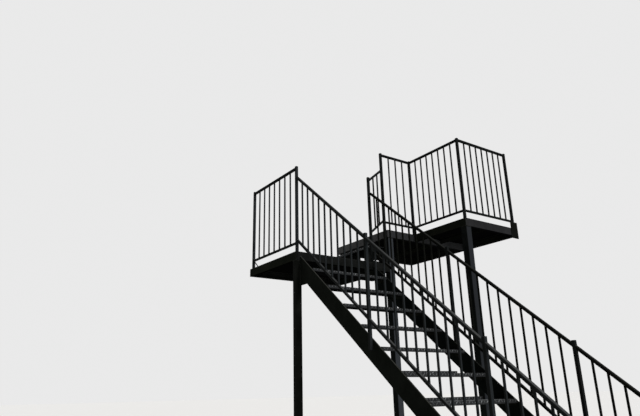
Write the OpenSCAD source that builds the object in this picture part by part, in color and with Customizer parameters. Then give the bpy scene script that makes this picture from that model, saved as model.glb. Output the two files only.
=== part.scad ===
/* [Levels] */
// Height from one tread to the next
riser_h = 195; // [170:1:200]
// Number of risers from the ground to the lower landing
flight_risers = 15; // [6:1:15]
// Height of each of the two risers between the landing and the upper deck
step_riser_h = 195; // [170:1:200]

/* [Plan] */
// Distance between the two guard lines of the flight
walk_w = 955; // [800:1:1050]
// Distance from one tread's front to the next
tread_run = 228.6; // [215:0.1:260]
// Far guard line of the flight to the left face of the deck
step_past = 200; // [150:1:500]
// Left face of the deck to the left face of the balcony
deck_notch = 400; // [250:1:900]
// Width of the balcony out to out
balcony_w = 845; // [700:1:1500]
// Depth of the landing and the deck out to out
floor_depth = 937; // [850:1:1600]
// How far the balcony stands out in front of the deck
balcony_out = 753; // [500:1:1500]

/* [Flight] */
// Thickness of a stringer plate
stringer_t = 12; // [8:1:20]
// Depth of a stringer, square to its slope
stringer_h = 148; // [130:1:220]
// Drop from the nosing line to the stringer's top edge
stringer_drop = 13; // [0:1:20]
// How far the level head of a stringer hangs below the landing
head_drop = 328; // [240:1:400]
// Stringer's front end ahead of the first nosing
toe_out = 80; // [40:1:120]
// Width of the plate under a stringer's foot
foot_w = 90; // [70:1:120]
// Length of the plate under a stringer's foot
foot_l = 100; // [80:1:140]
// Depth of a tread, front to back
tread_d = 225; // [200:1:228]
// Thickness of the tread plate
tread_t = 5; // [3:0.5:8]
// Height of a tread's front lip
tread_lip = 28; // [20:1:60]
// Height of the bar along a tread's rear edge
back_bar_h = 25; // [15:1:40]
// Distance of that bar's ends from the stringers
back_bar_in = 125; // [60:1:200]
// Gap between a tread's end and the stringer
tread_gap = 1; // [0.5:0.5:3]

/* [Tread clips] */
// Length of the angle under each end of a tread
clip_l = 165; // [120:1:190]
// Leg of that angle
clip_leg = 38; // [30:1:50]
// Thickness of that angle
clip_t = 5; // [3:0.5:6]

/* [Frames] */
// Height of the floor frame channels
channel_h = 76; // [70:1:150]
// Flange width of the channels
channel_b = 38; // [30:1:60]
// Web thickness of the channels
channel_tw = 5; // [4:0.5:10]
// Flange thickness of the channels
channel_tf = 7; // [5:0.5:10]
// Thickness of the floor plates
plate_t = 6; // [4:0.5:10]
// Leg of the angles under the floor plates
bearer_leg = 50; // [40:1:60]
// Thickness of those angles
bearer_t = 6; // [4:0.5:8]

/* [Columns] */
// Side of the corner column's square tube
col_w = 64; // [50:1:90]
// Side of the deck's and the balcony's square column tubes
deck_col_w = 76; // [60:1:90]
// Wall thickness of the column tubes
col_wall = 5; // [3:0.5:8]
// Outside radius of a column tube's corners
col_round = 9; // [8:0.5:14]
// Side of a column's base plate
base_w = 160; // [120:1:220]
// Thickness of the base, cap and stringer foot plates
base_t = 12; // [8:1:20]
// Hole spacing on a base plate
base_bolt = 110; // [90:1:140]
// Radius of every anchor hole
bolt_r = 7; // [5:0.5:9]
// Thickness of a column's cap plate
cap_t = 8; // [5:1:12]

/* [Wall fixings] */
// Distance of the outer ledger holes from the ledger's ends
ledger_in = 150; // [100:1:250]
// Width of the plate that ties the balcony's front to the side wall
tie_w = 110; // [80:1:160]
// Height of that plate
tie_h = 185; // [120:1:240]
// Thickness of that plate
tie_t = 8; // [5:1:12]
// How far that plate stands above the deck
tie_up = 70; // [20:1:90]

/* [Guards] */
// Side of the square guard posts
post_w = 25; // [20:1:32]
// Top of a level guard rail above its deck
guard_h = 909; // [850:1:1070]
// Top of the landing's guard rail above the landing
landing_guard_h = 883; // [850:1:1070]
// Top of the near rail above the nosing line
flight_guard_h = 793; // [700:1:950]
// Top of the far rail above the nosing line
far_guard_h = 802; // [700:1:950]
// Underside of a low rail above its deck
low_h = 82; // [60:1:110]
// Underside of the flight's low rail above the nosing line
flight_low_h = 112; // [80:1:160]
// Top of the step's rail above the landing, at its lower end
step_guard_h = 955; // [900:1:1000]
// Underside of the step's low rail above the landing, at its lower end
step_low_h = 330; // [250:1:400]
// Rise of the step's rails from end to end
step_rail_rise = 150; // [100:1:250]
// Distance from the head of the flight to its first post
first_post = 1035; // [900:1:1200]
// Distance from one flight post to the next
post_step = 1078; // [900:1:1200]
// How far a flight post laps down the stringer's face
post_lap = 95; // [80:1:160]
// How far a post stands above its rail
post_up = 10; // [4:1:25]
// How far a flight post stands above its rail
flight_post_up = 25; // [4:1:40]
// Top of the post at the head of the flight above the landing
head_post_h = 970; // [950:1:1100]
// How far that post stands inside the far guard line
head_post_in = 15; // [0:1:15]
// Distance of the landing's rear post from the wall face
post_back = 20; // [16:1:250]
// Distance of the balcony's last post from the side wall face
post_side = 20; // [16:1:120]
// How far the landing's post brace reaches along the floor
brace_run = 105; // [60:1:160]
// Thickness of that brace
brace_t = 10; // [6:1:16]

/* [Rails] */
// Width of the top rail's cap
cap_w = 30; // [26:1:50]
// Height of the top rail's cap
cap_h = 10; // [8:1:15]
// Width of the bars under the cap
bar_w = 20; // [16:1:25]
// Height of the bar under the cap
bar_h = 14; // [10:1:25]
// Height of the low rail
low_bar_h = 20; // [14:1:30]
// Side of the square pickets
picket_w = 12.7; // [10:0.1:16]
// Largest distance from one picket to the next
picket_step = 100; // [90:1:130]
// Largest distance from one picket to the next on the landing and the deck
wide_picket_step = 110; // [90:1:130]
// Largest distance from one picket to the next beside the step
step_picket_step = 80; // [60:1:130]

/* [Step] */
// Height of the step's front lip
step_lip = 28; // [20:1:60]
// Thickness of the plates that carry the step
bracket_t = 8; // [5:1:12]
// Number of those plates
bracket_count = 3; // [2:1:5]
// Distance of the outer plates from the step's ends
bracket_in = 60; // [40:1:120]
// Share of each plate that is cut away
bracket_cut = 0.5; // [0.3:0.05:0.6]

/* [Hidden] */
clear = 0.5;
big = 10000;
cap_round = 0.6 * cap_h;
edge = col_w / 2;
x_left = -edge;
x_deck = walk_w + step_past;
x_balcony = x_deck + deck_notch;
x_end = x_balcony + balcony_w;
y_front = -edge;
y_wall = y_front + floor_depth;
y_balcony = y_front - balcony_out;
landing_z = riser_h * flight_risers;
step_z = landing_z + step_riser_h;
deck_z = step_z + step_riser_h;
tread_count = flight_risers - 1;
slope = riser_h / tread_run;
slope_deg = atan(slope);
near_face = post_w / 2;
far_face = walk_w - post_w / 2;
channel_z = plate_t + channel_h;
rail_h = cap_h + bar_h;
deck_col_in = deck_col_w / 2;
deck_post_top = deck_z + guard_h + post_up;
balcony_line = x_balcony + edge;
front_line = y_balcony + edge;
side_post_x = x_end - post_side;
rear_post_y = y_wall - post_back;
deck_col_x = x_deck + deck_col_in;
deck_col_y = y_front + deck_col_in;
balcony_col_x = x_balcony + deck_col_in;
balcony_col_y = y_balcony + deck_col_in;
foot_pitch = foot_l / 2;
foot_hole_in = 2 * foot_w / 3;
toe_y = -(flight_risers - 1) * tread_run - toe_out;
stair_posts = 1 + floor((tread_count * tread_run + toe_out - first_post) / post_step);
head_post_x = walk_w - head_post_in;
deck_post_x = x_deck - post_w / 2;

near_steel = "#34373a";
deck_steel = "#46474a";
tread_steel = "#6a6c6c";
rail_steel = "#3a3c3f";

function tread_y(k) = -(flight_risers - k) * tread_run;
function nosing_z(y) = landing_z + slope * y;
function post_y(i) = i == 0 ? 0 : -first_post - (i - 1) * post_step;
function tread_name(k) = str("tread_", k < 10 ? "0" : "", k);

// Steel shapes

// Channel laid along +X: web on y = 0, toes towards +Y, top face on z = 0, ends square or mitred
module channel(len, mitre_start = false, mitre_end = false) {
    past = 1;
    difference() {
        translate([0, 0, -channel_h])
            rotate([90, 0, 90])
                linear_extrude(len)
                    polygon([[0, 0], [channel_b, 0], [channel_b, channel_tf], [channel_tw, channel_tf],
                             [channel_tw, channel_h - channel_tf], [channel_b, channel_h - channel_tf],
                             [channel_b, channel_h], [0, channel_h]]);
        if (mitre_start)
            translate([0, 0, -channel_h - past])
                linear_extrude(channel_h + 2 * past)
                    polygon([[-past, -past], [channel_b + past, channel_b + past],
                             [-past, channel_b + past]]);
        if (mitre_end)
            translate([len, 0, -channel_h - past])
                linear_extrude(channel_h + 2 * past)
                    polygon([[past, -past], [-channel_b - past, channel_b + past],
                             [past, channel_b + past]]);
    }
}

// Equal angle laid along +X: one leg flat under z = 0 towards +Y, the other down on y = 0
module angle_bar(len, leg, t) {
    rotate([90, 0, 90])
        linear_extrude(len)
            polygon([[0, 0], [leg, 0], [leg, -t], [t, -t], [t, -leg], [0, -leg]]);
}

// Hole through a web, along +Y
module web_hole() {
    translate([0, -channel_tw, 0])
        rotate([-90, 0, 0])
            cylinder(h = 3 * channel_tw, r = bolt_r, $fn = 32);
}

// Four holes of a base plate, centred on the origin
module base_holes() {
    for (x = [-base_bolt / 2, base_bolt / 2], y = [-base_bolt / 2, base_bolt / 2])
        translate([x, y, -base_t])
            cylinder(h = 3 * base_t, r = bolt_r, $fn = 32);
}

// Square bar of side w standing on the origin, its upright corners rounded
module round_bar(w, r, h) {
    translate([-w / 2, r - w / 2, 0])
        cube([w, w - 2 * r, h]);
    translate([r - w / 2, -w / 2, 0])
        cube([w - 2 * r, w, h]);
    for (x = [r - w / 2, w / 2 - r], y = [r - w / 2, w / 2 - r])
        translate([x, y, 0])
            cylinder(h = h, r = r, $fn = 32);
}

// Square tube standing on z = base_t, up to its cap plate
module column(x, y, w, top) {
    h = top - cap_t - base_t;
    translate([x, y, base_t])
        difference() {
            round_bar(w, col_round, h);
            translate([0, 0, -1])
                round_bar(w - 2 * col_wall, col_round - col_wall, h + 2);
        }
}

// Base plate and cap plate of one column
module column_plates(x, y, w, top) {
    translate([x, y, 0])
        difference() {
            translate([-base_w / 2, -base_w / 2, 0])
                cube([base_w, base_w, base_t]);
            base_holes();
        }
    translate([x - w / 2, y - w / 2, top - cap_t])
        cube([w, w, cap_t]);
}

// Square post with its foot at z0 and its head at z1
module post(x, y, z0, z1) {
    translate([x - post_w / 2, y - post_w / 2, z0])
        cube([post_w, post_w, z1 - z0]);
}

// Top rail's outline: rounded cap over a square bar, top on y = 0
module top_rail_outline() {
    r = cap_round;
    polygon(concat(
        [for (a = [0:15:90]) [cap_w / 2 - r + r * cos(a), -r + r * sin(a)]],
        [for (a = [90:15:180]) [r - cap_w / 2 + r * cos(a), -r + r * sin(a)]],
        [[-cap_w / 2, -cap_h], [-bar_w / 2, -cap_h], [-bar_w / 2, -rail_h],
         [bar_w / 2, -rail_h], [bar_w / 2, -cap_h], [cap_w / 2, -cap_h]]));
}

// Railing panel along +X between two posts, rising by rise over its span
module railing_panel(span, rise, top, low, most = picket_step) {
    lean = atan(rise / span);
    count = max(1, ceil(span / most) - 1);
    gap = span / (count + 1);
    reach = span + top;
    intersection() {
        translate([0, -cap_w, -big / 2])
            cube([span, 2 * cap_w, big]);
        union() {
            rotate([0, -lean, 0])
                translate([-reach, 0, top * cos(lean)])
                    rotate([90, 0, 90])
                        linear_extrude(4 * reach)
                            top_rail_outline();
            rotate([0, -lean, 0])
                translate([-reach, -bar_w / 2, low * cos(lean)])
                    cube([4 * reach, bar_w, low_bar_h]);
        }
    }
    for (i = [1:count]) {
        x = i * gap;
        z = x * rise / span;
        translate([x - picket_w / 2, -picket_w / 2, z + low + low_bar_h / 2])
            cube([picket_w, picket_w, top - low - low_bar_h / 2 - rail_h / 2]);
    }
}

// Columns

module corner_column() {
    color(near_steel) column(0, 0, col_w, landing_z - channel_z);
}

module deck_column() {
    color(near_steel) column(deck_col_x, deck_col_y, deck_col_w, deck_z - channel_z);
}

module balcony_column() {
    color(near_steel) column(balcony_col_x, balcony_col_y, deck_col_w, deck_z - channel_z);
}

module base_and_cap_plates() {
    color(near_steel) {
        column_plates(0, 0, col_w, landing_z - channel_z);
        column_plates(deck_col_x, deck_col_y, deck_col_w, deck_z - channel_z);
        column_plates(balcony_col_x, balcony_col_y, deck_col_w, deck_z - channel_z);
    }
}

// Lower landing

module landing_front_channel() {
    color(near_steel)
        translate([x_left, y_front, landing_z - plate_t])
            channel(x_deck - x_left, true, true);
}

module landing_left_channel() {
    color(near_steel)
        translate([x_left, y_wall, landing_z - plate_t])
            rotate([0, 0, -90])
                channel(floor_depth, true, true);
}

module landing_right_channel() {
    color(near_steel)
        translate([x_deck, y_front, landing_z - plate_t])
            rotate([0, 0, 90])
                channel(floor_depth, true, true);
}

module landing_wall_channel() {
    len = x_deck - x_left;
    color(near_steel)
        translate([x_deck, y_wall, landing_z - plate_t])
            rotate([0, 0, 180])
                difference() {
                    channel(len, true, true);
                    for (x = [ledger_in, len - ledger_in])
                        translate([x, 0, -channel_h / 2])
                            web_hole();
                }
}

module landing_floor_plate() {
    color(deck_steel)
        translate([x_left, y_front, landing_z - plate_t])
            cube([x_deck - x_left, floor_depth, plate_t]);
}

// Step between the landing and the deck

module step_tread() {
    len = floor_depth - edge - post_w;
    color(tread_steel)
        translate([x_deck - tread_run, y_front + edge + post_w / 2, step_z])
            rotate([90, 0, 90])
                linear_extrude(tread_run)
                    polygon([[0, 0], [len, 0], [len, -tread_t], [0, -tread_t]]);
    color(tread_steel)
        translate([x_deck - tread_run, y_front + edge + post_w / 2, step_z - step_lip])
            cube([tread_t, len, step_lip - tread_t]);
}

module step_brackets() {
    first = y_front + edge + post_w / 2 + bracket_in;
    last = y_wall - bracket_in - bracket_t;
    h = step_z - tread_t - landing_z;
    w = tread_run - tread_t - 2 * clear;
    color(near_steel)
        for (i = [0:bracket_count - 1])
            translate([x_deck - w - clear, first + i * (last - first) / (bracket_count - 1), landing_z])
                difference() {
                    cube([w, bracket_t, h]);
                    translate([w * (1 - bracket_cut) / 2, -1, h * (1 - bracket_cut) / 2])
                        cube([w * bracket_cut, bracket_t + 2, h * bracket_cut]);
                }
}

// Upper deck and balcony

module deck_front_channel() {
    color(near_steel)
        translate([x_deck, y_front, deck_z - plate_t])
            channel(x_end - x_deck, true, true);
}

module deck_left_channel() {
    color(deck_steel)
        translate([x_deck, y_wall, deck_z - plate_t])
            rotate([0, 0, -90])
                channel(floor_depth, true, true);
}

module deck_wall_channel() {
    len = x_end - x_deck;
    color(near_steel)
        translate([x_end, y_wall, deck_z - plate_t])
            rotate([0, 0, 180])
                difference() {
                    channel(len, true, true);
                    for (x = [ledger_in, len - ledger_in])
                        translate([x, 0, -channel_h / 2])
                            web_hole();
                }
}

module deck_end_channel() {
    color(near_steel)
        translate([x_end, y_front, deck_z - plate_t])
            rotate([0, 0, 90])
                difference() {
                    channel(floor_depth, true, true);
                    for (x = [ledger_in, floor_depth - ledger_in])
                        translate([x, 0, -channel_h / 2])
                            web_hole();
                }
}

module balcony_left_channel() {
    color(deck_steel)
        translate([x_balcony, y_front, deck_z - plate_t])
            rotate([0, 0, -90])
                channel(balcony_out, false, true);
}

module balcony_front_channel() {
    color(deck_steel)
        translate([x_balcony, y_balcony, deck_z - plate_t])
            channel(balcony_w, true, true);
}

module balcony_end_channel() {
    color(near_steel)
        translate([x_end, y_balcony, deck_z - plate_t])
            rotate([0, 0, 90])
                difference() {
                    channel(balcony_out, true, false);
                    for (x = [ledger_in, balcony_out - ledger_in])
                        translate([x, 0, -channel_h / 2])
                            web_hole();
                }
}

module deck_floor_plate() {
    color(deck_steel)
        translate([x_deck, y_front, deck_z - plate_t])
            cube([x_end - x_deck, floor_depth, plate_t]);
}

module balcony_floor_plate() {
    color(deck_steel)
        translate([x_balcony, y_balcony, deck_z - plate_t])
            cube([balcony_w, balcony_out, plate_t]);
}

module balcony_wall_tie() {
    color(near_steel)
        translate([x_end - tie_w, y_balcony - tie_t, deck_z + tie_up - tie_h])
            cube([tie_w, tie_t, tie_h]);
}

module floor_bearers() {
    inner = floor_depth - 2 * channel_b;
    color(near_steel) {
        translate([(x_left + x_deck) / 2, y_front + channel_b, landing_z - plate_t])
            rotate([0, 0, 90])
                angle_bar(inner, bearer_leg, bearer_t);
        for (i = [1, 2])
            translate([x_deck + i * (x_end - x_deck) / 3, y_front + channel_b, deck_z - plate_t])
                rotate([0, 0, 90])
                    angle_bar(inner, bearer_leg, bearer_t);
        translate([x_balcony + balcony_w / 2, y_balcony + channel_b, deck_z - plate_t])
            rotate([0, 0, 90])
                angle_bar(balcony_out - channel_b, bearer_leg, bearer_t);
    }
}

// Flight

// Stringer's side outline in (y, z): sloped plate, level at the foot and at the head
module stringer_outline() {
    drop = stringer_drop;
    deep = stringer_h / cos(slope_deg) + stringer_drop;
    y_heel = (base_t + deep - landing_z) / slope;
    head_z = landing_z - head_drop;
    y_head = (head_z + deep - landing_z) / slope;
    polygon([[y_front, nosing_z(y_front) - drop], [toe_y, nosing_z(toe_y) - drop], [toe_y, base_t],
             [y_heel, base_t], [y_head, head_z], [y_front, head_z]]);
}

module stringer(x) {
    translate([x, 0, 0])
        rotate([90, 0, 90])
            linear_extrude(stringer_t)
                stringer_outline();
}

module near_stringer() {
    color(near_steel) stringer(near_face);
}

module far_stringer() {
    color(near_steel) stringer(far_face - stringer_t);
}

module tread(k) {
    x0 = near_face + stringer_t + tread_gap;
    x1 = far_face - stringer_t - tread_gap;
    color(tread_steel)
        translate([x0, tread_y(k), k * riser_h])
            rotate([90, 0, 90])
                linear_extrude(x1 - x0)
                    polygon([[0, 0], [tread_d, 0], [tread_d, -tread_t], [tread_t, -tread_t],
                             [tread_t, -tread_lip], [0, -tread_lip]]);
}

// Flat bar that stands on the rear edge of each tread
module tread_back_bars() {
    x0 = near_face + stringer_t + back_bar_in;
    x1 = far_face - stringer_t - back_bar_in;
    color(tread_steel)
        for (k = [1:tread_count])
            translate([x0, tread_y(k) + tread_d - tread_t, k * riser_h])
                cube([x1 - x0, tread_t, back_bar_h]);
}

module tread_clips() {
    y_in = 2 * tread_t;
    color(near_steel)
        for (k = [1:tread_count]) {
            translate([near_face + stringer_t, tread_y(k) + y_in + clip_l, k * riser_h - tread_t])
                rotate([0, 0, -90])
                    angle_bar(clip_l, clip_leg, clip_t);
            translate([far_face - stringer_t, tread_y(k) + y_in, k * riser_h - tread_t])
                rotate([0, 0, 90])
                    angle_bar(clip_l, clip_leg, clip_t);
        }
}

module stringer_feet() {
    color(near_steel)
        for (far = [false, true])
            translate([far ? far_face - foot_w : near_face, toe_y, 0])
                difference() {
                    cube([foot_w, foot_l, base_t]);
                    for (y = [-foot_pitch / 2, foot_pitch / 2])
                        translate([far ? foot_w - foot_hole_in : foot_hole_in, foot_l / 2 + y, -1])
                            cylinder(h = base_t + 2, r = bolt_r, $fn = 32);
                }
}

// Posts

module flight_posts() {
    color(rail_steel)
        for (i = [1:stair_posts], far = [false, true]) {
            y = post_y(i);
            post(far ? walk_w : 0, y, nosing_z(y) - stringer_drop - post_lap,
                 nosing_z(y) + (far ? far_guard_h : flight_guard_h) + flight_post_up);
        }
}

module landing_posts() {
    top = landing_z + landing_guard_h + post_up;
    color(rail_steel) {
        post(0, 0, landing_z, top);
        post(0, rear_post_y, landing_z, top);
        post(head_post_x, 0, landing_z, landing_z + head_post_h);
    }
}

// Slanted bar from the landing's floor to the low rail beside the rear post
module landing_post_brace() {
    y1 = rear_post_y - post_w / 2;
    color(rail_steel)
        translate([-brace_t / 2, 0, landing_z])
            rotate([90, 0, 90])
                linear_extrude(brace_t)
                    polygon([[y1 - brace_run, 0], [y1 - brace_run + brace_t, 0], [y1, low_h],
                             [y1 - brace_t, low_h]]);
}

module deck_posts() {
    color(rail_steel) {
        post(deck_post_x, 0, landing_z, deck_post_top);
        post(balcony_line, 0, deck_z, deck_post_top);
        post(balcony_line, front_line, deck_z, deck_post_top);
        post(side_post_x, front_line, deck_z, deck_post_top);
    }
}

// Railings

module flight_railing(x, top) {
    for (i = [1:stair_posts]) {
        y0 = post_y(i) + post_w / 2;
        span = post_y(i - 1) - post_y(i) - post_w;
        translate([x, y0, nosing_z(y0)])
            rotate([0, 0, 90])
                railing_panel(span, span * slope, top, flight_low_h);
    }
}

module near_flight_railing() {
    color(rail_steel) flight_railing(0, flight_guard_h);
}

module far_flight_railing() {
    color(rail_steel) flight_railing(walk_w, far_guard_h);
}

module landing_railing() {
    color(rail_steel)
        translate([0, post_w / 2, landing_z])
            rotate([0, 0, 90])
                railing_panel(rear_post_y - post_w, 0, landing_guard_h, low_h, wide_picket_step);
}

module step_railing() {
    x0 = head_post_x + post_w / 2;
    color(rail_steel)
        translate([x0, 0, landing_z])
            railing_panel(x_deck - post_w - x0, step_rail_rise, step_guard_h, step_low_h, step_picket_step);
}

module deck_railing() {
    color(rail_steel)
        translate([x_deck, 0, deck_z])
            railing_panel(balcony_line - post_w / 2 - x_deck, 0, guard_h, low_h, wide_picket_step);
}

module balcony_left_railing() {
    color(rail_steel)
        translate([balcony_line, front_line + post_w / 2, deck_z])
            rotate([0, 0, 90])
                railing_panel(-front_line - post_w, 0, guard_h, low_h);
}

module balcony_front_railing() {
    color(rail_steel)
        translate([balcony_line + post_w / 2, front_line, deck_z])
            railing_panel(side_post_x - balcony_line - post_w, 0, guard_h, low_h);
}

corner_column();
deck_column();
balcony_column();
base_and_cap_plates();
landing_front_channel();
landing_left_channel();
landing_right_channel();
landing_wall_channel();
landing_floor_plate();
step_tread();
step_brackets();
deck_front_channel();
deck_left_channel();
deck_wall_channel();
deck_end_channel();
balcony_left_channel();
balcony_front_channel();
balcony_end_channel();
deck_floor_plate();
balcony_floor_plate();
balcony_wall_tie();
floor_bearers();
near_stringer();
far_stringer();
tread_back_bars();
tread_clips();
stringer_feet();
flight_posts();
landing_posts();
landing_post_brace();
deck_posts();
near_flight_railing();
far_flight_railing();
landing_railing();
step_railing();
deck_railing();
balcony_left_railing();
balcony_front_railing();
for (k = [1:tread_count])
    tread(k);
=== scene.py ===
import math
import random

import bpy
from mathutils import Matrix, Vector


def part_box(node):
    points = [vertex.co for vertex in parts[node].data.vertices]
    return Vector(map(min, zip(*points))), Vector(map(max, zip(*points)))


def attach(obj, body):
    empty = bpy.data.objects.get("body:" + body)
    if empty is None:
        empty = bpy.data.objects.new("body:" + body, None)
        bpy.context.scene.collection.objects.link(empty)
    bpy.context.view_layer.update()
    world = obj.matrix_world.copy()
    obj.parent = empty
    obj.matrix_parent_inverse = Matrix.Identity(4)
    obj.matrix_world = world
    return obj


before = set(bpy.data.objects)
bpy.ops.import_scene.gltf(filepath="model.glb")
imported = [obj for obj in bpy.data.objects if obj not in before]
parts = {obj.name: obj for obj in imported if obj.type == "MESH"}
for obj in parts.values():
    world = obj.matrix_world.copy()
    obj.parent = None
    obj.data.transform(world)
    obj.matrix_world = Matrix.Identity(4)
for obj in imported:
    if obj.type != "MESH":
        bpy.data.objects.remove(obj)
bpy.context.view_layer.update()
random.seed(3)


# Columns: three square steel tubes with rounded corners, each welded to a base plate and a
# cap plate. They are brushed with black alkyd enamel, which has gone dull in the weather, and
# the fronts of the two that carry the deck and the balcony are lightened as painted light.

def linear(code):
    """The linear colour of an sRGB hex code such as 1b1c1b."""
    channels = [int(code[i:i + 2], 16) / 255 for i in (0, 2, 4)]
    return [c / 12.92 if c <= 0.04045 else ((c + 0.055) / 1.055) ** 2.4 for c in channels] + [1]


def put(tree, kind, inputs, **settings):
    """Adds a node with its settings; an input is a value, or the socket that feeds it."""
    made = tree.nodes.new(kind)
    for name, value in settings.items():
        setattr(made, name, value)
    for name, value in inputs.items():
        if isinstance(value, bpy.types.NodeSocket):
            tree.links.new(value, made.inputs[name])
        else:
            made.inputs[name].default_value = value
    return made


def across_mm(size):
    """The scale of a noise pattern whose blotches are about this many millimetres wide."""
    return 1000 / size


def bare_material(name):
    """A new material with an empty tree, and the socket that says where a point is."""
    material = bpy.data.materials.new(name)
    material.use_nodes = True
    tree = material.node_tree
    tree.nodes.clear()
    return material, tree, put(tree, "ShaderNodeTexCoord", {}).outputs["Object"]


def painted_shade_below(tree, height, top, shine):
    """Painted shade on the underside: where the normal points down, the colour is darkened to
    near black and the specular level lowered to nothing. Gives the colour and the specular
    level all round, from the colour and the level of the top. height is the part of the
    normal along Z."""
    under = put(tree, "ShaderNodeMapRange", {"Value": height, "From Min": -0.4,
                                             "From Max": -0.8, "To Max": 0.9})
    colour = put(tree, "ShaderNodeMix", {0: under.outputs["Result"], 6: top,
                                         7: linear("020202")}, data_type="RGBA")
    if not shine:
        return colour.outputs[2], 0.0
    level = put(tree, "ShaderNodeMapRange", {"Value": under.outputs["Result"], "From Max": 0.9,
                                             "To Min": shine, "To Max": 0.0})
    return colour.outputs[2], level.outputs["Result"]


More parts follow.
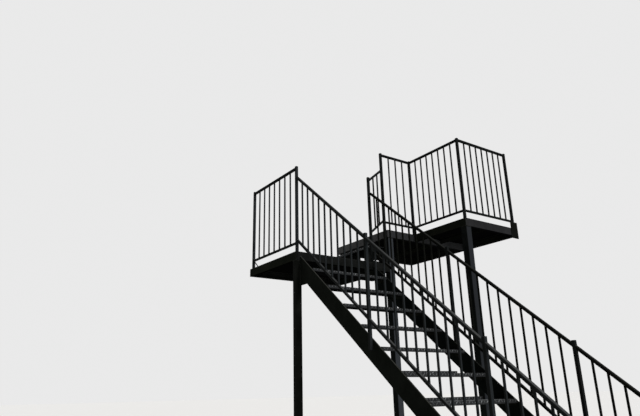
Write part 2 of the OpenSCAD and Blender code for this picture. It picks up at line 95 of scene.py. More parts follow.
def brushed_enamel(name, paint, faded, rubbed, dust, dusting, rusting, strokes, chalk=0.005,
                   painted_front_light=None, painted_light_x=None, open_z=None):
    """Black alkyd enamel brushed on rolled steel. The eye gets a dull black skin with faded
    patches and rain runs, thinner and greyer along every edge, dust on what faces up, a few
    rust spots, and an underside darkened to near black as painted shade. The brush went along
    the steel, in the direction of strokes. The front, which is -Y, can be lightened towards a
    given colour as painted light: all along X, or less and less from the first to the second
    value of the X range, as painted shade further along. Over the heights of the Z range the
    dust colour lessens, so what faces up is darker higher up."""
    material, tree, place = bare_material(name)
    facing = put(tree, "ShaderNodeNewGeometry", {}).outputs["Normal"]
    # Faded patches
    patches = put(tree, "ShaderNodeTexNoise", {"Vector": place, "Scale": across_mm(150),
                                               "Detail": 5.0, "Roughness": 0.62})
    fading = put(tree, "ShaderNodeMapRange", {"Value": patches.outputs["Fac"], "From Min": 0.42,
                                              "From Max": 0.7})
    # Rain runs 14 mm wide and 350 mm long
    drawn_out = put(tree, "ShaderNodeMapping", {"Vector": place, "Scale": (0.014, 0.014, 0.35)},
                    vector_type="TEXTURE")
    runs = put(tree, "ShaderNodeTexNoise", {"Vector": drawn_out.outputs["Vector"], "Scale": 1.0,
                                            "Detail": 3.0})
    washed = put(tree, "ShaderNodeMapRange", {"Value": runs.outputs["Fac"], "From Min": 0.52,
                                              "From Max": 0.78, "To Max": 0.7})
    worn = put(tree, "ShaderNodeMath", {0: fading.outputs["Result"], 1: washed.outputs["Result"]},
               operation="MAXIMUM")
    skin = put(tree, "ShaderNodeMix", {0: worn.outputs[0], 6: linear(paint), 7: linear(faded)},
               data_type="RGBA")
    aspect = put(tree, "ShaderNodeSeparateXYZ", {"Vector": facing})
    spot = put(tree, "ShaderNodeSeparateXYZ", {"Vector": place})
    # Painted light: the -Y front is mixed towards a lighter colour; with an X range this lessens
    # along X, as painted shade
    if painted_front_light:
        front = put(tree, "ShaderNodeMapRange", {"Value": aspect.outputs["Y"], "From Min": -0.6,
                                                 "From Max": -0.9, "To Max": 0.9}).outputs[0]
        if painted_light_x:
            painted_light_falloff = put(tree, "ShaderNodeMapRange", {
                "Value": spot.outputs["X"], "From Min": painted_light_x[0], "From Max": painted_light_x[1],
                "To Min": 1.0, "To Max": 0.15})
            front = put(tree, "ShaderNodeMath", {0: front, 1: painted_light_falloff.outputs["Result"]},
                        operation="MULTIPLY").outputs[0]
        skin = put(tree, "ShaderNodeMix", {0: front, 6: skin.outputs[2], 7: linear(painted_front_light)},
                   data_type="RGBA")
    # Within 4 mm of an edge the brush left less paint, and hands and weather took more of it
    spread = put(tree, "ShaderNodeBevel", {"Radius": 0.004}, samples=4)
    turned = put(tree, "ShaderNodeVectorMath", {0: spread.outputs["Normal"], 1: facing},
                 operation="DOT_PRODUCT")
    spots = put(tree, "ShaderNodeTexNoise", {"Vector": place, "Scale": across_mm(8),
                                             "Detail": 4.0, "Roughness": 0.7})
    edge = put(tree, "ShaderNodeMapRange", {"Value": turned.outputs["Value"], "From Min": 0.995,
                                            "From Max": 0.90})
    broken = put(tree, "ShaderNodeMapRange", {"Value": spots.outputs["Fac"], "From Min": 0.3,
                                              "From Max": 0.6})
    thin = put(tree, "ShaderNodeMath", {0: edge.outputs["Result"], 1: broken.outputs["Result"]},
               operation="MULTIPLY")
    edged = put(tree, "ShaderNodeMix", {0: thin.outputs[0], 6: skin.outputs[2],
                                        7: linear(rubbed)}, data_type="RGBA")
    # Dust lies on what faces up, in a film broken into the same spots
    level = put(tree, "ShaderNodeMapRange", {"Value": aspect.outputs["Z"], "From Min": 0.3,
                                             "From Max": 0.95})
    film = put(tree, "ShaderNodeMapRange", {"Value": spots.outputs["Fac"], "From Min": 0.25,
                                            "From Max": 0.65, "To Min": dusting * 0.4,
                                            "To Max": dusting})
    settled = put(tree, "ShaderNodeMath", {0: level.outputs["Result"], 1: film.outputs["Result"]},
                  operation="MULTIPLY")
    # Over the heights of the Z range the dust colour lessens, so what faces up is darker higher up
    if open_z:
        lower = put(tree, "ShaderNodeMapRange", {
            "Value": spot.outputs["Z"], "From Min": open_z[0], "From Max": open_z[1],
            "To Min": 1.0, "To Max": 0.2})
        settled = put(tree, "ShaderNodeMath", {0: settled.outputs[0], 1: lower.outputs["Result"]},
                      operation="MULTIPLY")
    dusty = put(tree, "ShaderNodeMix", {0: settled.outputs[0], 6: edged.outputs[2],
                                        7: linear(dust)}, data_type="RGBA")
    # Rust spots, in groups
    specks = put(tree, "ShaderNodeTexNoise", {"Vector": place, "Scale": across_mm(10),
                                              "Detail": 7.0, "Roughness": 0.72})
    groups = put(tree, "ShaderNodeTexNoise", {"Vector": place, "Scale": across_mm(200),
                                              "Detail": 2.0})
    crowd = put(tree, "ShaderNodeMapRange", {"Value": groups.outputs["Fac"], "From Min": 0.45,
                                             "From Max": 0.7, "To Min": -0.2, "To Max": rusting})
    through = put(tree, "ShaderNodeMath", {0: specks.outputs["Fac"], 1: crowd.outputs["Result"]},
                  operation="ADD")
    rust = put(tree, "ShaderNodeMapRange", {"Value": through.outputs[0], "From Min": 0.66,
                                            "From Max": 0.72})
    shade = put(tree, "ShaderNodeMix", {0: spots.outputs["Fac"], 6: linear("1d0f09"),
                                        7: linear("4a2a19")}, data_type="RGBA")
    rusty = put(tree, "ShaderNodeMix", {0: rust.outputs["Result"], 6: dusty.outputs[2],
                                        7: shade.outputs[2]}, data_type="RGBA")
    # Painted shade: the underside is darkened to near black and loses its gloss
    colour, shine = painted_shade_below(tree, aspect.outputs["Z"], rusty.outputs[2], chalk)
    duller = put(tree, "ShaderNodeMath", {0: worn.outputs[0], 1: 0.14, 2: 0.52},
                 operation="MULTIPLY_ADD")
    rougher = put(tree, "ShaderNodeMath", {0: settled.outputs[0], 1: 0.3, 2: duller.outputs[0]},
                  operation="MULTIPLY_ADD")
    matt = put(tree, "ShaderNodeMix", {0: rust.outputs["Result"], 2: rougher.outputs[0], 3: 0.9},
               data_type="FLOAT")
    # Brush marks 1.6 mm wide and 60 mm long, and the step at the lip of each rust spot
    swept = put(tree, "ShaderNodeMapping", {"Vector": place, "Rotation": strokes,
                                            "Scale": (0.0016, 0.06, 0.0016)},
                vector_type="TEXTURE")
    marks = put(tree, "ShaderNodeTexNoise", {"Vector": swept.outputs["Vector"], "Scale": 1.0,
                                             "Detail": 2.0})
    lifted = put(tree, "ShaderNodeMath", {0: rust.outputs["Result"], 1: -0.6,
                                          2: marks.outputs["Fac"]}, operation="MULTIPLY_ADD")
    relief = put(tree, "ShaderNodeBump", {"Height": lifted.outputs[0], "Strength": 0.4,
                                          "Distance": 0.0005})
    shader = put(tree, "ShaderNodeBsdfPrincipled", {
        "Base Color": colour, "Roughness": matt.outputs[0], "IOR": 1.5,
        "Specular IOR Level": shine, "Normal": relief.outputs["Normal"]})
    put(tree, "ShaderNodeOutputMaterial", {"Surface": shader.outputs[0]})
    return material


def ease_edges(part, width):
    """Rolled and sawn steel has no knife edge: its corners are eased by this many metres."""
    joined = part.modifiers.new("joined_corners", "WELD")
    joined.merge_threshold = 0.00001
    eased = part.modifiers.new("eased_edges", "BEVEL")
    eased.width = width
    eased.segments = 2
    eased.limit_method = "ANGLE"
    eased.angle_limit = math.radians(35)
    eased.harden_normals = True


def coat(names, material, width=0.0):
    """Gives the named CAD parts their finish and eased edges."""
    for name in names:
        part = parts[name]
        part.data.materials.clear()
        part.data.materials.append(material)
        if width:
            ease_edges(part, width)


quarter = math.radians(90)
upright = (quarter, 0, 0)
# The corner column is the plainest black. The deck column's front is painted lighter grey as
# painted light, and the balcony column's a little.
column_enamel = brushed_enamel("dull_black_enamel_on_column_tube", "0e0f0d", "161715", "333431",
                               "4b4b48", 0.6, 0.0, upright)
deck_column_painted_light = brushed_enamel("enamel_with_painted_light_on_deck_column", "0d0f0e", "151716",
                               "333435", "4b4b48", 0.6, 0.0, upright, painted_front_light="373a3e")
balcony_column_painted_light = brushed_enamel("enamel_with_painted_light_on_balcony_column", "0d0f0e", "151716",
                                  "333435", "4b4b48", 0.6, 0.0, upright, painted_front_light="27292c")
coat(["corner_column", "base_and_cap_plates"], column_enamel)
coat(["deck_column"], deck_column_painted_light)
coat(["balcony_column"], balcony_column_painted_light)


def add_piece(name, shape, material, smooth=False):
    """Makes one piece from a list of points and a list of faces, and fixes it to the stair."""
    mesh = bpy.data.meshes.new(name)
    mesh.from_pydata(shape[0], [], shape[1])
    mesh.materials.append(material)
    mesh.polygons.foreach_set("use_smooth", [smooth] * len(mesh.polygons))
    piece = bpy.data.objects.new(name, mesh)
    bpy.context.scene.collection.objects.link(piece)
    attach(piece, "root")
    return piece


bead_ripple, bead_sides = 0.0024, 5
ripple_share, uneven_share, end_share, flat_share = 0.14, 0.08, 0.35, 0.8


def add_bead(shape, route, size, out, closed=False):
    """Adds a weld bead along a route: a half-round run, rippled where the weld pool froze."""
    points, faces = shape
    stations = []
    legs = list(zip(route, route[1:] + route[:1])) if closed else list(zip(route, route[1:]))
    for start, end in legs:
        steps = max(2, round((end - start).length / bead_ripple))
        stations += [start.lerp(end, i / steps) for i in range(steps)]
    if not closed:
        stations.append(route[-1])
    count, first = len(stations), len(points)
    for i, at in enumerate(stations):
        before = stations[i - 1] if i or closed else at
        after = stations[(i + 1) % count] if i + 1 < count or closed else at
        side = (after - before).cross(out).normalized()
        reach = size * (1 + ripple_share * (-1) ** i
                        + random.uniform(-uneven_share, uneven_share))
        if not closed and i in (0, count - 1):
            reach *= end_share
        for k in range(bead_sides):
            turn = math.pi * k / (bead_sides - 1)
            points.append(at + side * math.cos(turn) * reach
                          + out * math.sin(turn) * reach * flat_share)
    for i in range(count if closed else count - 1):
        a, b = first + i * bead_sides, first + (i + 1) % count * bead_sides
        faces += [(a + k, a + k + 1, b + k + 1, b + k) for k in range(bead_sides - 1)]
        faces.append((b, b + bead_sides - 1, a + bead_sides - 1, a))
    if not closed:
        faces.append(tuple(first + k for k in reversed(range(bead_sides))))
        faces.append(tuple(first + (count - 1) * bead_sides + k for k in range(bead_sides)))


def square_route(x, y, z, half, corner):
    """A level square around a bar, its corners cut off."""
    h, c = half, half - corner
    return [Vector((x + u, y + v, z)) for u, v in
            [(-c, -h), (c, -h), (h, -c), (h, c), (c, h), (-c, h), (-h, c), (-h, -c)]]


right, back, up = Vector((1, 0, 0)), Vector((0, 1, 0)), Vector((0, 0, 1))
bead, proud, column_round = 0.003, 0.0005, 0.008
column_welds = ([], [])
for column in ["corner_column", "deck_column", "balcony_column"]:
    low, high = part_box(column)
    middle, half = (low + high) / 2, (high.x - low.x) / 2
    for level in (low.z, high.z):
        add_bead(column_welds, square_route(middle.x, middle.y, level, half + proud, column_round),
                 bead, up, closed=True)
add_piece("column_welds", column_welds, column_enamel, smooth=True)


# Anchors: base plates and stringer feet are held down by threaded studs in the footing, each
# with a plain washer and a hexagon nut. All are zinc plated, grey and blotched.

def plated_steel(name):
    """Zinc plate on a fastener: a grey metal with a dull white bloom."""
    material, tree, place = bare_material(name)
    bloom = put(tree, "ShaderNodeTexNoise", {"Vector": place, "Scale": across_mm(5),
                                             "Detail": 5.0})
    white = put(tree, "ShaderNodeMapRange", {"Value": bloom.outputs["Fac"], "From Min": 0.4,
                                             "From Max": 0.65})
    colour = put(tree, "ShaderNodeMix", {0: white.outputs["Result"], 6: linear("626364"),
                                         7: linear("7d7b76")}, data_type="RGBA")
    rough = put(tree, "ShaderNodeMapRange", {"Value": bloom.outputs["Fac"], "To Min": 0.35,
                                             "To Max": 0.7})
    relief = put(tree, "ShaderNodeBump", {"Height": bloom.outputs["Fac"], "Strength": 0.3,
                                          "Distance": 0.0004})
    shader = put(tree, "ShaderNodeBsdfPrincipled", {
        "Base Color": colour.outputs[2], "Roughness": rough.outputs["Result"], "Metallic": 0.9,
        "Normal": relief.outputs["Normal"]})
    put(tree, "ShaderNodeOutputMaterial", {"Surface": shader.outputs[0]})
    return material


def add_turned(shape, foot, axis, profile, sides, spin=0.0):
    """Adds a solid turned about an axis from (radius, height) steps, with this many sides."""
    points, faces = shape
    across = axis.orthogonal().normalized()
    beside = axis.cross(across)
    first = len(points)
    for radius, height in profile:
        for k in range(sides):
            turn = 2 * math.pi * k / sides + spin
            points.append(foot + axis * height
                          + (across * math.cos(turn) + beside * math.sin(turn)) * radius)
    for level in range(len(profile) - 1):
        a = first + level * sides
        faces += [(a + k, a + (k + 1) % sides, a + sides + (k + 1) % sides, a + sides + k)
                  for k in range(sides)]
    faces.append(tuple(first + k for k in reversed(range(sides))))
    last = first + (len(profile) - 1) * sides
    faces.append(tuple(last + k for k in range(sides)))


washer_radius, washer_high, washer_round = 0.0125, 0.0024, 0.0006
nut_corner, nut_high, nut_chamfer, nut_foot = 0.0110, 0.0098, 0.0015, 0.0008
foot_share, top_share, stud_share = 0.95, 0.88, 0.8
stud_radius, stud_past, stud_chamfer = 0.0058, 0.006, 0.001
washer_sides, nut_sides, stud_sides = 28, 6, 18


def add_nut(shape, at, axis, past=stud_past):
    """Adds a washer, a hexagon nut with chamfered corners, and the stud's end."""
    top = washer_high + nut_high
    add_turned(shape, at, axis, [(washer_radius - washer_round, 0), (washer_radius, washer_round),
                                 (washer_radius, washer_high - washer_round),
                                 (washer_radius - washer_round, washer_high)], washer_sides)
    add_turned(shape, at, axis, [(nut_corner * foot_share, washer_high),
                                 (nut_corner, washer_high + nut_foot),
                                 (nut_corner, top - nut_chamfer),
                                 (nut_corner * top_share, top)], nut_sides, random.uniform(0, 1))
    add_turned(shape, at, axis, [(stud_radius, top - stud_chamfer), (stud_radius, top + past),
                                 (stud_radius * stud_share, top + past + stud_chamfer)],
               stud_sides)


def solids_of(name):
    """The lowest and highest corner of each separate solid in a CAD part."""
    mesh = parts[name].data
    number, owner, places = {}, [], []

    def root(i):
        while owner[i] != i:
            i = owner[i]
        return i

    for vertex in mesh.vertices:
        key = tuple(round(c, 5) for c in vertex.co)
        if key not in number:
            number[key] = len(owner)
            owner.append(len(owner))
        places.append(number[key])
    for edge in mesh.edges:
        ends = sorted(root(places[i]) for i in edge.vertices)
        owner[ends[1]] = ends[0]
    boxes = {}
    for vertex, place in zip(mesh.vertices, places):
        low, high = boxes.setdefault(root(place), (vertex.co.copy(), vertex.co.copy()))
        for axis in range(3):
            low[axis] = min(low[axis], vertex.co[axis])
            high[axis] = max(high[axis], vertex.co[axis])
    return sorted(boxes.values(), key=lambda box: tuple(box[0]))


zinc = plated_steel("blotched_zinc_plate_on_nuts")
anchors = ([], [])
anchor_step, foot_level = 0.055, 0.001
for low, high in solids_of("base_and_cap_plates"):
    if low.z < foot_level:
        middle = (low + high) / 2
        for u in (-anchor_step, anchor_step):
            for v in (-anchor_step, anchor_step):
                add_nut(anchors, Vector((middle.x + u, middle.y + v, high.z)), up)
foot_hole_in, foot_hole_step = 0.060, 0.025
for far, (low, high) in enumerate(solids_of("stringer_feet")):
    x = high.x - foot_hole_in if far else low.x + foot_hole_in
    for v in (-foot_hole_step, foot_hole_step):
        add_nut(anchors, Vector((x, (low.y + high.y) / 2 + v, high.z)), up)
add_piece("anchor_nuts", anchors, zinc)


# Floor frames: 3 in rolled channels with mitred corners carry the landing, the deck and the
# balcony, and angles run under the plates. All are welded, and the ledgers along the back and
# the right hang on studs that were painted over. The deck's front and side channels and the
# balcony's front channel are painted lighter grey as painted light.

crosswise, lengthwise = (0, 0, quarter), (0, 0, 0)
# Black on most channels and warmer on the side ones; lighter grey copies on the deck's front
# and side and the balcony's front stand in as painted light
across_enamel = brushed_enamel("dull_black_enamel_on_front_channels", "121312", "1c1d1c",
                               "363634", "484845", 0.5, 0.02, crosswise)
along_enamel = brushed_enamel("dull_black_enamel_on_side_channels", "10120e", "191a15", "2b2c27",
                              "484845", 0.5, 0.0, lengthwise, chalk=0.002)
deck_front_painted_light = brushed_enamel("enamel_with_painted_light_on_deck_front_channel", "2e2f30", "3a3b3c", "464748",
                              "525250", 0.5, 0.02, crosswise)
balcony_front_painted_light = brushed_enamel("enamel_with_painted_light_on_balcony_front_channel", "232324", "2c2c2d",
                                  "3e3e40", "525250", 0.5, 0.02, crosswise)
deck_side_painted_light = brushed_enamel("enamel_with_painted_light_on_deck_side_channel", "484848", "565656", "5c5c5c",
                             "525250", 0.5, 0.02, lengthwise)
rolled_edge = 0.0012
coat(["landing_front_channel"], across_enamel, rolled_edge)
coat(["landing_wall_channel", "deck_wall_channel"], across_enamel)
coat(["balcony_wall_tie"], column_enamel, rolled_edge)
coat(["landing_left_channel", "landing_right_channel", "balcony_left_channel",
      "floor_bearers"], along_enamel, rolled_edge)
coat(["deck_end_channel", "balcony_end_channel"], along_enamel)
coat(["deck_front_channel"], deck_front_painted_light, rolled_edge)
coat(["balcony_front_channel"], balcony_front_painted_light, rolled_edge)
coat(["deck_left_channel"], deck_side_painted_light, rolled_edge)

ledger_studs = ([], [])
ledger_in, web, short_end = 0.150, 0.005, 0.004
for name in ["landing_wall_channel", "deck_wall_channel", "deck_end_channel",
             "balcony_end_channel"]:
    low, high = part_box(name)
    inward, axis = (-back, 0) if "wall" in name else (-right, 1)
    for along in (low[axis] + ledger_in, high[axis] - ledger_in):
        at = Vector((high.x, high.y, (low.z + high.z) / 2))
        at[axis] = along
        add_turned(ledger_studs, at, inward, [(stud_radius, 0), (stud_radius, web)],
                   stud_sides)
        add_nut(ledger_studs, at + inward * web, inward, short_end)
add_piece("wall_stud_nuts", ledger_studs, along_enamel)

stitch, stitch_step, flange_wide = 0.036, 0.150, 0.038


def add_stitches(shape, start, end, out):
    """Adds short welds along a line, evenly spaced."""
    line = end - start
    count = max(1, round(line.length / stitch_step))
    for i in range(count):
        middle = start + line * (i + 0.5) / count
        half = line.normalized() * stitch / 2
        add_bead(shape, [middle - half, middle + half], bead, out)


frame_welds = ([], [])
for low, high in solids_of("floor_bearers"):
    for x, side in ((low.x, -right), (high.x, right)):
        add_stitches(frame_welds, Vector((x, low.y, high.z)), Vector((x, high.y, high.z)),
                     (side - up).normalized())
for name in ["landing_floor_plate", "deck_floor_plate", "balcony_floor_plate"]:
    low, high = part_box(name)
    x0, x1 = low.x + flange_wide, high.x - flange_wide
    y0, y1 = low.y + flange_wide, high.y - flange_wide
    if name == "balcony_floor_plate":
        y1 = high.y
    else:
        add_stitches(frame_welds, Vector((x0, y1, low.z)), Vector((x1, y1, low.z)),
                     (-back - up).normalized())
    add_stitches(frame_welds, Vector((x0, y0, low.z)), Vector((x1, y0, low.z)),
                 (back - up).normalized())
    add_stitches(frame_welds, Vector((x0, y0, low.z)), Vector((x0, y1, low.z)),
                 (right - up).normalized())
    add_stitches(frame_welds, Vector((x1, y0, low.z)), Vector((x1, y1, low.z)),
                 (-right - up).normalized())
plate_thick, tie_end = 0.006, 0.004
tie_low, tie_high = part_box("balcony_wall_tie")
frame_low, frame_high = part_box("balcony_front_channel")
for z, side in ((frame_low.z, -up), (frame_high.z + plate_thick, up)):
    add_stitches(frame_welds, Vector((tie_low.x, tie_high.y, z)),
                 Vector((tie_high.x - tie_end, tie_high.y, z)), (side + back).normalized())
add_piece("floor_frame_welds", frame_welds, along_enamel, smooth=True)


# Floor plates: 6 mm chequered plate welded to the frames. Its raised lozenges are rubbed to grey
# steel by shoes, and the paint between them holds dust.

def chequer_enamel(name, paint, bare, dust, wear, roughness, walked=None):
    """Black enamel on chequered steel. The eye gets grey steel where shoes rub it through,
    fine scratches and grit, dust in the low places, and an underside darkened as painted
    shade. walked is the middle and the half width of the path that people take, along X."""
    material, tree, place = bare_material(name)
    facing = put(tree, "ShaderNodeNewGeometry", {}).outputs["Normal"]
    # Broad scuffs, and fine scratches and grit
    scuffs = put(tree, "ShaderNodeTexNoise", {"Vector": place, "Scale": across_mm(80),
                                              "Detail": 3.0})
    grit = put(tree, "ShaderNodeTexNoise", {"Vector": place, "Scale": across_mm(3),
                                            "Detail": 4.0, "Roughness": 0.65})
    both = put(tree, "ShaderNodeMath", {0: scuffs.outputs["Fac"], 1: 0.5,
                                        2: grit.outputs["Fac"]}, operation="MULTIPLY_ADD")
    rubbed = put(tree, "ShaderNodeMapRange", {"Value": both.outputs[0], "From Min": 0.86 - wear,
                                              "From Max": 1.12 - wear})
    # Nothing walks on the underside, and little on the ends of a tread
    aspect = put(tree, "ShaderNodeSeparateXYZ", {"Vector": facing})
    reached = put(tree, "ShaderNodeMapRange", {"Value": aspect.outputs["Z"], "From Min": -0.6,
                                               "From Max": -0.2})
    if walked:
        spot = put(tree, "ShaderNodeSeparateXYZ", {"Vector": place})
        off = put(tree, "ShaderNodeMath", {0: spot.outputs["X"], 1: walked[0]},
                  operation="SUBTRACT")
        aside = put(tree, "ShaderNodeMath", {0: off.outputs[0]}, operation="ABSOLUTE")
        near = put(tree, "ShaderNodeMapRange", {
            "Value": aside.outputs[0], "From Min": walked[1] * 0.4, "From Max": walked[1],
            "To Min": 1.0, "To Max": 0.35})
        reached = put(tree, "ShaderNodeMath", {0: reached.outputs["Result"],
                                               1: near.outputs["Result"]}, operation="MULTIPLY")
    through = put(tree, "ShaderNodeMath", {0: rubbed.outputs["Result"], 1: reached.outputs[0]},
                  operation="MULTIPLY")
    # Dust in spots
    spots = put(tree, "ShaderNodeTexNoise", {"Vector": place, "Scale": across_mm(12),
                                             "Detail": 3.0})
    film = put(tree, "ShaderNodeMapRange", {"Value": spots.outputs["Fac"], "From Min": 0.35,
                                            "From Max": 0.7, "To Min": 0.1, "To Max": 0.5})
    level = put(tree, "ShaderNodeMapRange", {"Value": aspect.outputs["Z"], "From Min": 0.5,
                                             "From Max": 0.95})
    settled = put(tree, "ShaderNodeMath", {0: film.outputs["Result"], 1: level.outputs["Result"]},
                  operation="MULTIPLY")
    dusty = put(tree, "ShaderNodeMix", {0: settled.outputs[0], 6: linear(paint),
                                        7: linear(dust)}, data_type="RGBA")
    topside = put(tree, "ShaderNodeMix", {0: through.outputs[0], 6: dusty.outputs[2],
                                          7: linear(bare)}, data_type="RGBA")
    # Painted shade: the underside is darkened to near black and loses its gloss
    colour, shine = painted_shade_below(tree, aspect.outputs["Z"], topside.outputs[2], 0.03)
    metal = put(tree, "ShaderNodeMath", {0: through.outputs[0], 1: 0.7}, operation="MULTIPLY")
    rough = put(tree, "ShaderNodeMapRange", {"Value": through.outputs[0],
                                             "To Min": roughness + 0.2, "To Max": roughness})
    relief = put(tree, "ShaderNodeBump", {"Height": grit.outputs["Fac"], "Strength": 0.3,
                                          "Distance": 0.0004})
    shader = put(tree, "ShaderNodeBsdfPrincipled", {
        "Base Color": colour, "Roughness": rough.outputs["Result"],
        "Metallic": metal.outputs[0], "Specular IOR Level": shine,
        "Normal": relief.outputs["Normal"]})
    put(tree, "ShaderNodeOutputMaterial", {"Surface": shader.outputs[0]})
    return material


lozenge_pitch, lozenge_long, lozenge_wide = 0.032, 0.027, 0.0085
lozenge_high, lozenge_sunk = 0.0016, 0.0002
lozenge_outline = [(-1, 0), (-0.5, -0.9), (0, -1), (0.5, -0.9), (1, 0), (0.5, 0.9), (0, 1),
                   (-0.5, 0.9)]


def add_lozenges(shape, corner, along, across, out, margin):
    """Covers a flat panel with lozenges that lean left and right in turn, rolled in the plate."""
    points, faces = shape
    u, v = along.normalized(), across.normalized()
    wide = int((along.length - 2 * margin) / lozenge_pitch) + 1
    deep = int((across.length - 2 * margin) / lozenge_pitch) + 1
    start = (corner + u * (along.length - (wide - 1) * lozenge_pitch) / 2
             + v * (across.length - (deep - 1) * lozenge_pitch) / 2)
    count = len(lozenge_outline)
    for i in range(wide):
        for j in range(deep):
            lean = (u + v if (i + j) % 2 else u - v).normalized() * lozenge_long / 2
            side = out.cross(lean).normalized() * lozenge_wide / 2
            at = start + u * i * lozenge_pitch + v * j * lozenge_pitch
            first = len(points)
            for level, length, width in ((-lozenge_sunk, 1, 1), (lozenge_high, 0.82, 0.5)):
                points += [at + out * level + lean * a * length + side * b * width
                           for a, b in lozenge_outline]
            faces += [(first + k, first + (k + 1) % count, first + count + (k + 1) % count,
                       first + count + k) for k in range(count)]
            faces.append(tuple(range(first + count, first + 2 * count)))


# Dusty black plate, with its lozenges a shade lighter
floor_plate = chequer_enamel("dusty_enamel_on_floor_plate", "181817", "3c3c3b", "454441", 0.0,
                             0.5)
floor_lozenge = chequer_enamel("rubbed_lozenges_on_floor_plate", "20201f", "6a6a69", "454441",
                               0.14, 0.4)
floors = ["landing_floor_plate", "deck_floor_plate", "balcony_floor_plate"]
coat(floors, floor_plate, rolled_edge)
floor_pattern = ([], [])
for name in floors:
    low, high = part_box(name)
    add_lozenges(floor_pattern, Vector((low.x, low.y, high.z)), right * (high.x - low.x),
                 back * (high.y - low.y), up, lozenge_pitch / 2)
add_piece("floor_lozenges", floor_pattern, floor_lozenge)


# Stringers: two 12 mm plates carry the flight, and hang from the landing's front channel. The
# outer faces are the blackest paint on the stair, and their top edges are rubbed; the far one
# is a darker, glossless copy as painted shade. An angle under each end of a tread is welded
# to them.

rise, run = 0.195, 0.2286
down_slope = (math.atan2(rise, run), 0, 0)
# Deep black with a thin grey line at the edges; the far one is darker with no gloss at all,
# as painted shade
stringer_enamel = brushed_enamel("dull_black_enamel_on_stringer", "0c0e0b", "131512", "3a3b38",
                                 "454541", 0.8, 0.0, down_slope)
far_stringer_painted_shade = brushed_enamel("enamel_with_painted_shade_on_far_stringer", "0a0d0c", "111412", "2c2d2a",
                              "3b3b38", 0.8, 0.0, down_slope, chalk=0.0)
sheared_edge = 0.002
coat(["near_stringer"], stringer_enamel, sheared_edge)
coat(["far_stringer"], far_stringer_painted_shade, sheared_edge)
coat(["tread_clips"], along_enamel, rolled_edge)
coat(["stringer_feet"], along_enamel)

stringer_welds = ([], [])
head_drop, foot_long = 0.328, 0.100
stair_middle = (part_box("near_stringer")[0].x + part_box("far_stringer")[1].x) / 2
near_head_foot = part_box("landing_floor_plate")[1].z - head_drop
far_head_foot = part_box("landing_front_channel")[0].z
for name, inner, head_foot in (("near_stringer", 1, near_head_foot),
                               ("far_stringer", -1, far_head_foot)):
    low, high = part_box(name)
    for x, side in ((low.x, -right), (high.x, right)):
        add_bead(stringer_welds, [Vector((x, high.y, head_foot + bead)),
                                  Vector((x, high.y, high.z - bead))], bead,
                 (side - back).normalized())
    x = high.x if inner > 0 else low.x
    add_bead(stringer_welds, [Vector((x, low.y + bead, low.z)),
                              Vector((x, low.y + foot_long - bead, low.z))], bead,
             (right * inner + up).normalized())
for low, high in solids_of("tread_clips"):
    x, side = (low.x, right) if low.x < stair_middle else (high.x, -right)
    add_stitches(stringer_welds, Vector((x, low.y, low.z)), Vector((x, high.y, low.z)),
                 (side - up).normalized())
add_piece("stringer_welds", stringer_welds, stringer_enamel, smooth=True)


# Treads: pans bent from 5 mm chequered plate, with a 28 mm front lip, and a bar welded along
# most of the rear edge. Shoes have worn their noses and middles to grey steel, and the lozenges
# show on the lips as bright specks. Two bolts at each end hold a pan to its angles.

tread_count, path_half = 14, 0.42
walking = (stair_middle, path_half)
# Dark grey plate, with its lozenges bright where shoes land and dull towards the ends
tread_steel = chequer_enamel("worn_enamel_on_tread", "2a2b2c", "4e5051", "3e3d3b", 0.08, 0.5,
                             walking)
tread_lozenge = chequer_enamel("bright_lozenges_on_tread", "404243", "808284", "4a4947", 0.22,
                               0.36, walking)
treads = ["tread_%02d" % k for k in range(1, tread_count + 1)]
bent_edge = 0.0018
coat(treads + ["tread_back_bars"], tread_steel, bent_edge)
tread_pattern, tread_bolts = ([], []), ([], [])
button = [(0.0110, 0), (0.0110, 0.0012), (0.0096, 0.0036), (0.0062, 0.0054), (0.0015, 0.0060)]
button_sides = 20
bolt_in, bolt_front, bolt_back, clip_thick = 0.021, 0.055, 0.145, 0.005
lip_row, tread_margin = 0.021, 0.012
for name in treads:
    low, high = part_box(name)
    wide = right * (high.x - low.x)
    add_lozenges(tread_pattern, Vector((low.x, low.y, high.z)), wide, back * (high.y - low.y), up,
                 tread_margin)
    add_lozenges(tread_pattern, Vector((low.x, low.y, high.z - lip_row)), wide, up * lip_row,
                 -back, lip_row / 2)
    for x in (low.x + bolt_in, high.x - bolt_in):
        for y in (low.y + bolt_front, low.y + bolt_back):
            add_turned(tread_bolts, Vector((x, y, high.z)), up, button, button_sides)
            add_nut(tread_bolts, Vector((x, y, high.z - 2 * clip_thick)), -up, short_end)
add_piece("tread_bolts", tread_bolts, across_enamel)
bar_welds = ([], [])
for low, high in solids_of("tread_back_bars"):
    add_lozenges(tread_pattern, low, right * (high.x - low.x), up * (high.z - low.z), -back,
                 lip_row / 2)
    add_stitches(bar_welds, Vector((low.x, low.y, low.z)), Vector((high.x, low.y, low.z)),
                 (up - back).normalized())
add_piece("tread_lozenges", tread_pattern, tread_lozenge)
add_piece("back_bar_welds", bar_welds, tread_steel, smooth=True)


# Step: a bent pan of the same plate on three cut-out plates, welded to the landing's floor,
# takes half of the rise from the landing to the deck.

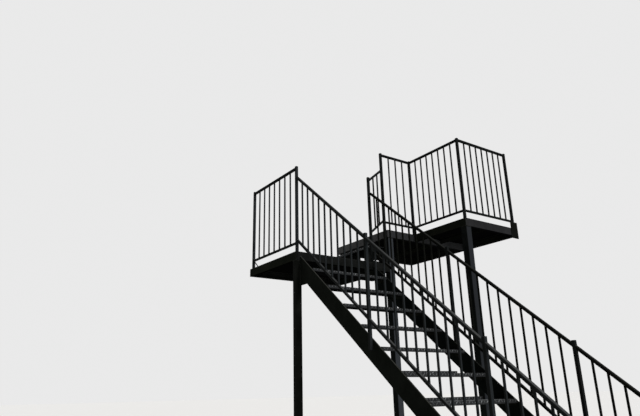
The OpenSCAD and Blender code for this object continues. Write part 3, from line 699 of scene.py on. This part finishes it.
# The same grey plate as the treads, worn a little further
step_steel = chequer_enamel("worn_enamel_on_step", "2a2b2c", "4e5051", "3e3d3b", 0.14, 0.5)
step_lozenge = chequer_enamel("bright_lozenges_on_step", "404243", "808284", "4a4947", 0.26, 0.36)
coat(["step_tread"], step_steel, bent_edge)
step_pattern = ([], [])
low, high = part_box("step_tread")
add_lozenges(step_pattern, Vector((low.x, low.y, high.z)), right * (high.x - low.x),
             back * (high.y - low.y), up, tread_margin)
add_lozenges(step_pattern, Vector((low.x, high.y, high.z - lip_row)), -back * (high.y - low.y),
             up * lip_row, -right, lip_row / 2)
add_piece("step_lozenges", step_pattern, step_lozenge)
coat(["step_brackets"], across_enamel, rolled_edge)
step_welds = ([], [])
for low, high in solids_of("step_brackets"):
    for y, side in ((low.y, -back), (high.y, back)):
        for z, face in ((low.z, up), (high.z, -up)):
            add_bead(step_welds, [Vector((low.x, y, z)), Vector((high.x, y, z))], bead,
                     (side + face).normalized())
add_piece("step_welds", step_welds, across_enamel, smooth=True)


# Guards: 25 mm square posts, pressed channel rails with a rounded cap, and 12.7 mm square
# pickets, all welded. Hands and rain keep the caps grey on top.

# Dull black with dusty caps; the fronts are lightened as painted light, less and less from
# x 0.1 to 0.9 as painted shade, and the far guard is a darker copy as painted shade. The dust
# colour on top lessens from 2.4 m to 3.0 m up
guard_enamel = brushed_enamel("dull_black_enamel_on_guards", "0f1110", "191a1a", "323334",
                              "5c5d5d", 0.7, 0.0, upright, chalk=0.01, painted_front_light="232628",
                              painted_light_x=(0.1, 0.9), open_z=(2.4, 3.0))
far_guard_painted_shade = brushed_enamel("enamel_with_painted_shade_on_far_guard", "090a08", "131311", "282926",
                            "3a3b39", 0.5, 0.0, upright, chalk=0.003)
railings = ["near_flight_railing", "landing_railing", "step_railing", "deck_railing",
            "balcony_left_railing", "balcony_front_railing"]
bar_edge = 0.001
coat(railings + ["flight_posts", "landing_posts", "deck_posts", "landing_post_brace"],
     guard_enamel, bar_edge)
coat(["far_flight_railing"], far_guard_painted_shade, bar_edge)

post_welds = ([], [])
post_half, post_lap, weld_share, small_bead = 0.0125, 0.095, 0.85, 0.0022
for name in ["landing_posts", "deck_posts"]:
    for low, high in solids_of(name):
        middle = (low + high) / 2
        add_bead(post_welds, square_route(middle.x, middle.y, low.z, post_half + proud, bar_edge),
                 small_bead, up, closed=True)
# Each flight post laps the outer face of its stringer
for low, high in solids_of("flight_posts"):
    x, out = (high.x, -right) if low.x < stair_middle else (low.x, right)
    for y, side in ((low.y, -back), (high.y, back)):
        add_bead(post_welds, [Vector((x, y, low.z)), Vector((x, y, low.z + post_lap * weld_share))],
                 small_bead, (side + out).normalized())
    add_bead(post_welds, [Vector((x, low.y, low.z)), Vector((x, high.y, low.z))], small_bead,
             (out - up).normalized())
add_piece("post_welds", post_welds, guard_enamel, smooth=True)

picket_welds = ([], [])
picket_wide, picket_bead, shortest_picket = 0.013, 0.0016, 0.3
# A picket's four long edges stand on the corners of the squares that its beads follow
for name in railings + ["far_flight_railing"]:
    mesh = parts[name].data
    corners = {}
    for edge in mesh.edges:
        foot, head = sorted((mesh.vertices[i].co for i in edge.vertices), key=lambda p: p.z)
        if (head - foot).z > shortest_picket and (head - foot).xy.length < proud:
            corners[(round(foot.x, 4), round(foot.y, 4))] = (foot, head)
    while corners:
        first = min(corners)
        own = [c for c in corners if max(abs(c[0] - first[0]), abs(c[1] - first[1])) < picket_wide]
        pairs = [corners.pop(c) for c in own]
        for end, out in ((0, up), (1, -up)):
            ring = [pair[end] for pair in pairs]
            middle = sum(ring, Vector()) / len(ring)
            ring.sort(key=lambda p: math.atan2(p.y - middle.y, p.x - middle.x))
            add_bead(picket_welds, ring, picket_bead, out, closed=True)
add_piece("picket_welds", picket_welds, guard_enamel, smooth=True)


# Light, floor and camera: a broad soft lamp from the front and right, a pale floor that runs
# into a pale backdrop, and the camera low beside the flight, looking up at the balcony.

backdrop, fill = 0.82, 0.42
world = bpy.data.worlds.new("pale_studio")
bpy.context.scene.world = world
world.use_nodes = True
sky = world.node_tree
sky.nodes.clear()
path = put(sky, "ShaderNodeLightPath", {})
seen = put(sky, "ShaderNodeMath", {0: path.outputs["Is Camera Ray"],
                                   1: path.outputs["Is Glossy Ray"]}, operation="MAXIMUM")
clear = put(sky, "ShaderNodeMath", {0: seen.outputs[0], 1: path.outputs["Is Transmission Ray"]},
            operation="MAXIMUM")
strength = put(sky, "ShaderNodeMapRange", {"Value": clear.outputs[0], "To Min": fill,
                                           "To Max": backdrop})
glow = put(sky, "ShaderNodeBackground", {"Color": (1, 1, 1, 1),
                                         "Strength": strength.outputs["Result"]})
put(sky, "ShaderNodeOutputWorld", {"Surface": glow.outputs[0]})

lamp = bpy.data.objects.new("soft_sun", bpy.data.lights.new("soft_sun", "SUN"))
lamp.data.energy = 2.6
lamp.data.angle = math.radians(22)
lamp.rotation_mode = "QUATERNION"
sun_way = Vector((-0.30, 0.72, -0.85))
lamp.rotation_quaternion = sun_way.to_track_quat("-Z", "Y")
bpy.context.scene.collection.objects.link(lamp)

floor_half, floor_drop = 200.0, 0.0015
floor_mesh = bpy.data.meshes.new("studio_floor")
floor_mesh.from_pydata([(x * floor_half, y * floor_half, -floor_drop)
                        for x, y in [(-1, -1), (1, -1), (1, 1), (-1, 1)]], [], [(0, 1, 2, 3)])
floor = bpy.data.objects.new("studio_floor", floor_mesh)
bpy.context.scene.collection.objects.link(floor)
pale = bpy.data.materials.new("pale_matt_floor")
pale.use_nodes = True
floor_shader = pale.node_tree.nodes["Principled BSDF"]
floor_shader.inputs["Base Color"].default_value = linear("e8e7e5")
floor_shader.inputs["Roughness"].default_value = 0.9
floor_shader.inputs["Specular IOR Level"].default_value = 0.1
floor_mesh.materials.append(pale)

camera = bpy.data.objects.new("camera", bpy.data.cameras.new("camera"))
camera.data.lens = 30.91
camera.data.sensor_width = 36.0
stand = Vector((-2.765, -4.358, 1.636))
to_right = Vector((0.82347, -0.56709, -0.02060))
to_top = Vector((-0.16462, -0.27346, 0.94776))
ahead = Vector((0.5430, 0.7770, 0.3185))
turn = Matrix((to_right, to_top, -ahead)).transposed()
camera.matrix_world = Matrix.Translation(stand) @ turn.to_4x4()
bpy.context.scene.collection.objects.link(camera)
bpy.context.scene.camera = camera
bpy.context.scene.view_settings.view_transform = "Standard"
